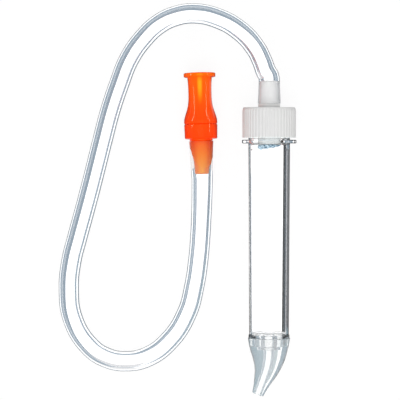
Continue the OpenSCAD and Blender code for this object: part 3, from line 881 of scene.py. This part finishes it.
# %% Table
table_half, table_height = 2000, -0.02
table = sheet("table", rectangle(-table_half, table_half, -table_half, table_half), table_height)
finish, tree = stage_finish("table_white")
path = add(tree, "LightPath").outputs
matt = add(tree, "BsdfDiffuse", {"Color": (0.9, 0.9, 0.9, 1)})
glow = add(tree, "Emission", {"Strength": 0.9})
sheen = add(tree, "Emission", {"Strength": 0.12})
clear = add(tree, "BsdfTransparent")
faint = add(tree, "BsdfDiffuse", {"Color": (0.1, 0.1, 0.1, 1)})
white = add(tree, "AddShader")
tree.links.new(faint.outputs[0], white.inputs[0])
tree.links.new(glow.outputs[0], white.inputs[1])
seen = mixed(tree, path["Is Camera Ray"], matt.outputs[0], white.outputs[0])
mirrored = mixed(tree, path["Is Glossy Ray"], seen, sheen.outputs[0])
result = mixed(tree, path["Is Transmission Ray"], mirrored, clear.outputs[0])
tree.links.new(result, add(tree, "OutputMaterial").inputs["Surface"])
table.data.materials.append(finish)
print("table at", table_height, "mm")

# %% Light panel and cards
# Each card has a name, its corners and height in mm, and the colour of its light.
panel = ((-165, -700), (140, -700), (140, 55), (100, 70), (100, 168), (-86, 168), (-165, -108))
cards = [
    ("light_panel", panel, -300, (1.45, 1.45, 1.45)),
    ("blue_surround", rectangle(-420, 500, -700, 445), -302, (0.29, 0.37, 0.44)),
    ("pale_surround", rectangle(-1500, 1500, -1500, 1500), -304, (0.6, 0.66, 0.72)),
    ("low_card", rectangle(-165, -15, -700, -140), -299, (0.88, 0.88, 0.88)),
    ("black_card", ((18.15, -41), (21.2, -41), (21.8, 39.5), (19.05, 39.5)), -3, (0.005, 0.005, 0.006)),
    ("grey_card", ((21.2, -41), (24.4, -41), (26.2, 36), (21.8, 36)), -3, (0.38, 0.39, 0.41)),
    ("edge_card", ((24.4, -41), (40, -41), (40, 36), (26.2, 36)), -3, (0.19, 0.195, 0.21)),
    ("dark_card", rectangle(-2.4, 0.2, -41, 36), 2, (0.06, 0.06, 0.063)),
    ("blue_card", rectangle(-6.1, -2.4, -41, 36), 2, (0.3, 0.36, 0.42)),
    ("nozzle_card_1", rectangle(23, 120, -140, -25), -60, (0.3, 0.4, 0.46)),
    ("nozzle_card_2", rectangle(-4, 5.5, -140, -25), -60, (0.5, 0.57, 0.6)),
    ("stub_card", rectangle(-8, 31, 51.2, 60.8), -0.01, (0.85, 0.85, 0.85)),
    ("barb_card", rectangle(-33, -6.2, 25, 37), -0.01, (1.0, 0.95, 0.93)),
]
rims = [rectangle(*side, *end) for side in ((-2, 2.6), (20.4, 25)) for end in ((34.7, 35.2), (38.6, 43))]
for number, corners in enumerate(rims, 1):
    cards.append((f"rim_card_{number}", corners, -2.9, (0.03, 0.03, 0.03)))
print(len(cards), "cards")

# %% Light of the cards
solid_depth = 3
for name, corners, height, colour in cards:
    card = sheet(name, corners, height)
    finish, tree = stage_finish(name + "_light")
    strength = max(colour)
    hue = (*(part / strength for part in colour), 1)
    glow = add(tree, "Emission", {"Color": hue, "Strength": strength})
    result = glow.outputs[0]
    if name.startswith("nozzle"):
        hollow = add(tree, "Math", {1: solid_depth}, operation="GREATER_THAN")
        tree.links.new(add(tree, "LightPath").outputs["Transmission Depth"], hollow.inputs[0])
        result = mixed(tree, hollow.outputs[0], result, add(tree, "BsdfTransparent").outputs[0])
    tree.links.new(result, add(tree, "OutputMaterial").inputs["Surface"])
    card.data.materials.append(finish)
    card.visible_camera = False
    card.visible_diffuse = False
    card.visible_shadow = False
print(len(cards), "cards lit")

# %% [markdown]
# ## Room light and lamps
# The room is white to the camera and dim in reflections. Light that has bounced off a matt surface finds
# it brighter, and through clear plastic brighter still, so that the cap's stub isn't dark inside the
# hose. Two softboxes light the set, and two strip lamps draw the long highlights of the orange pieces
# alone.

# %% World
world = bpy.data.worlds.new("studio")
bpy.context.scene.world = world
world.use_nodes = True
tree = world.node_tree
tree.nodes.clear()
path = add(tree, "LightPath").outputs
soft = add(tree, "Background", {"Color": (0.65, 0.65, 0.65, 1)})
dim = add(tree, "Background", {"Color": (0.4, 0.4, 0.4, 1)})
white = add(tree, "Background", {"Strength": 1.6})
bounced = add(tree, "Math", {1: 0.5}, operation="GREATER_THAN")
under_clear = add(tree, "Math", operation="MULTIPLY")
seen = add(tree, "Math", operation="MAXIMUM")
tree.links.new(path["Diffuse Depth"], bounced.inputs[0])
tree.links.new(bounced.outputs[0], under_clear.inputs[0])
tree.links.new(path["Is Transmission Ray"], under_clear.inputs[1])
tree.links.new(path["Is Camera Ray"], seen.inputs[0])
tree.links.new(under_clear.outputs[0], seen.inputs[1])
ambient = mixed(tree, bounced.outputs[0], dim.outputs[0], soft.outputs[0])
sky = mixed(tree, seen.outputs[0], ambient, white.outputs[0])
tree.links.new(sky, add(tree, "OutputWorld").inputs["Surface"])
print("world", world.name)

# %% Lamps
shiny = bpy.data.collections.new("shiny_pieces")
shiny.objects.link(bell)
shiny.objects.link(collar)


def softbox(name, location, power, length, width, strip):
    """A softbox that looks at the set, with its length level."""
    light = bpy.data.lights.new(name, "AREA")
    light.shape = "RECTANGLE"
    light.energy = power
    light.size = length
    light.size_y = width
    lamp = bpy.data.objects.new(name, light)
    lamp.location = location
    lamp.rotation_euler = (-lamp.location).to_track_quat("-Z", "Y").to_euler()
    lamp.visible_camera = False
    lamp.visible_transmission = False
    lamp.visible_glossy = strip
    lamp.visible_diffuse = not strip
    if strip:
        lamp.light_linking.receiver_collection = shiny
    bpy.context.scene.collection.objects.link(lamp)
    print(name, "of", power, "W")


softbox("top_softbox", (-0.03, -0.2, 0.9), power=4.5, length=0.7, width=0.7, strip=False)
softbox("front_softbox", (0.05, -0.75, 0.35), power=1.4, length=0.5, width=0.3, strip=False)
softbox("left_strip", (-0.66, 0.42, 0.42), power=1.8, length=0.9, width=0.05, strip=True)
softbox("right_strip", (0.66, 0.42, 0.42), power=1.8, length=0.9, width=0.05, strip=True)
